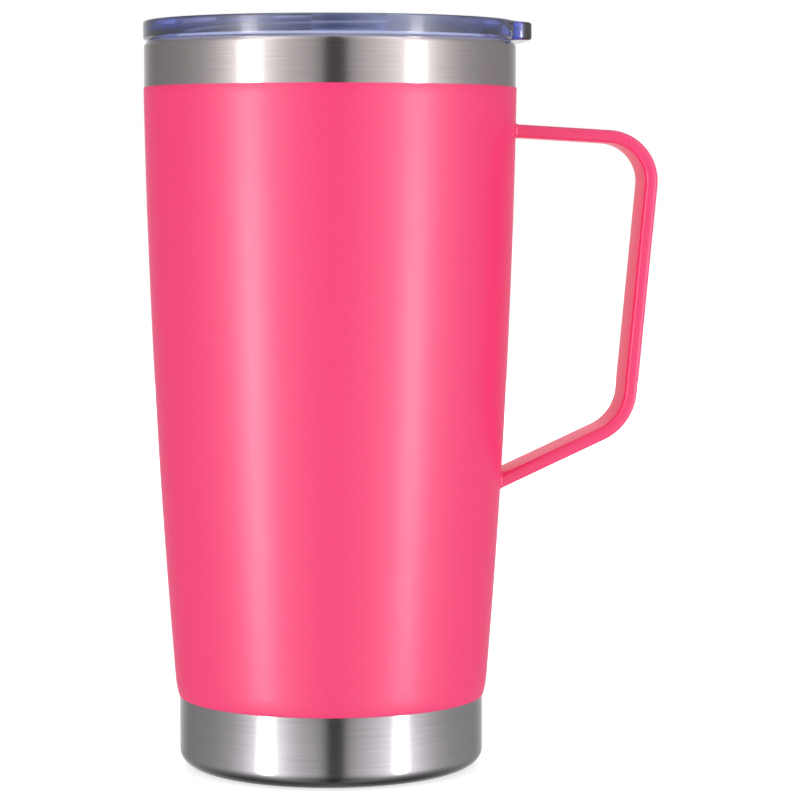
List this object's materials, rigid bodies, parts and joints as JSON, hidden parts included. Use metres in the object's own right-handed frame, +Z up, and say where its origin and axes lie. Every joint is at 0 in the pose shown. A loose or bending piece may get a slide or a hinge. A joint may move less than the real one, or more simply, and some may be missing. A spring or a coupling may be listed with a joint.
{
  "type": "insulated tumbler",
  "caption": "Tapered double-wall steel tumbler with a powder-coated wall, bare steel mouth and foot, welded strap handle, and clear press-in lid with thumb tab and sliding closure.",
  "frame": {"origin": "centre of the foot ring, on the surface that the tumbler stands on", "axes": "+Z up along the tumbler's axis, +X towards the handle and the lid's thumb tab, +Y to the left of someone who looks along +X"},
  "size_m": [0.12, 0.0872, 0.175],
  "materials": {
    "brushed_steel": "satin, brushed around the axis",
    "powder_coat": "satin powder coat with a fine texture, over steel",
    "coated_steel": "satin powder coat with a fine texture",
    "inner_steel": "satin, electropolished",
    "copper": "bright copper foil",
    "getter": "sintered matte pellet",
    "seal_glass": "glossy sealing glass",
    "clear_plastic": "clear, blue-tinted, polished",
    "silicone": "translucent matte silicone"
  },
  "bodies": {
    "cup": {"outer_shell": "brushed_steel", "base_cup": "brushed_steel", "powder_coat": "powder_coat", "inner_liner": "inner_steel", "liner_bottom": "inner_steel", "copper_foil": "copper", "getter_clip": "inner_steel", "getter_pellet": "getter", "port_seal": "seal_glass", "handle": "coated_steel", "handle_welds": "coated_steel"},
    "lid": {"lid_body": "clear_plastic", "lid_gasket": "silicone"},
    "slider": {"slider": "clear_plastic"}
  },
  "joints": [
    {"name": "lid_lift", "type": "slide", "parent": "cup", "child": "lid", "axis": [0, 0, 1], "range_m": [0, 0.06]},
    {"name": "slider_slide", "type": "slide", "parent": "lid", "child": "slider", "axis": [1, 0, 0], "range_m": [0, 0.015]}
  ]
}
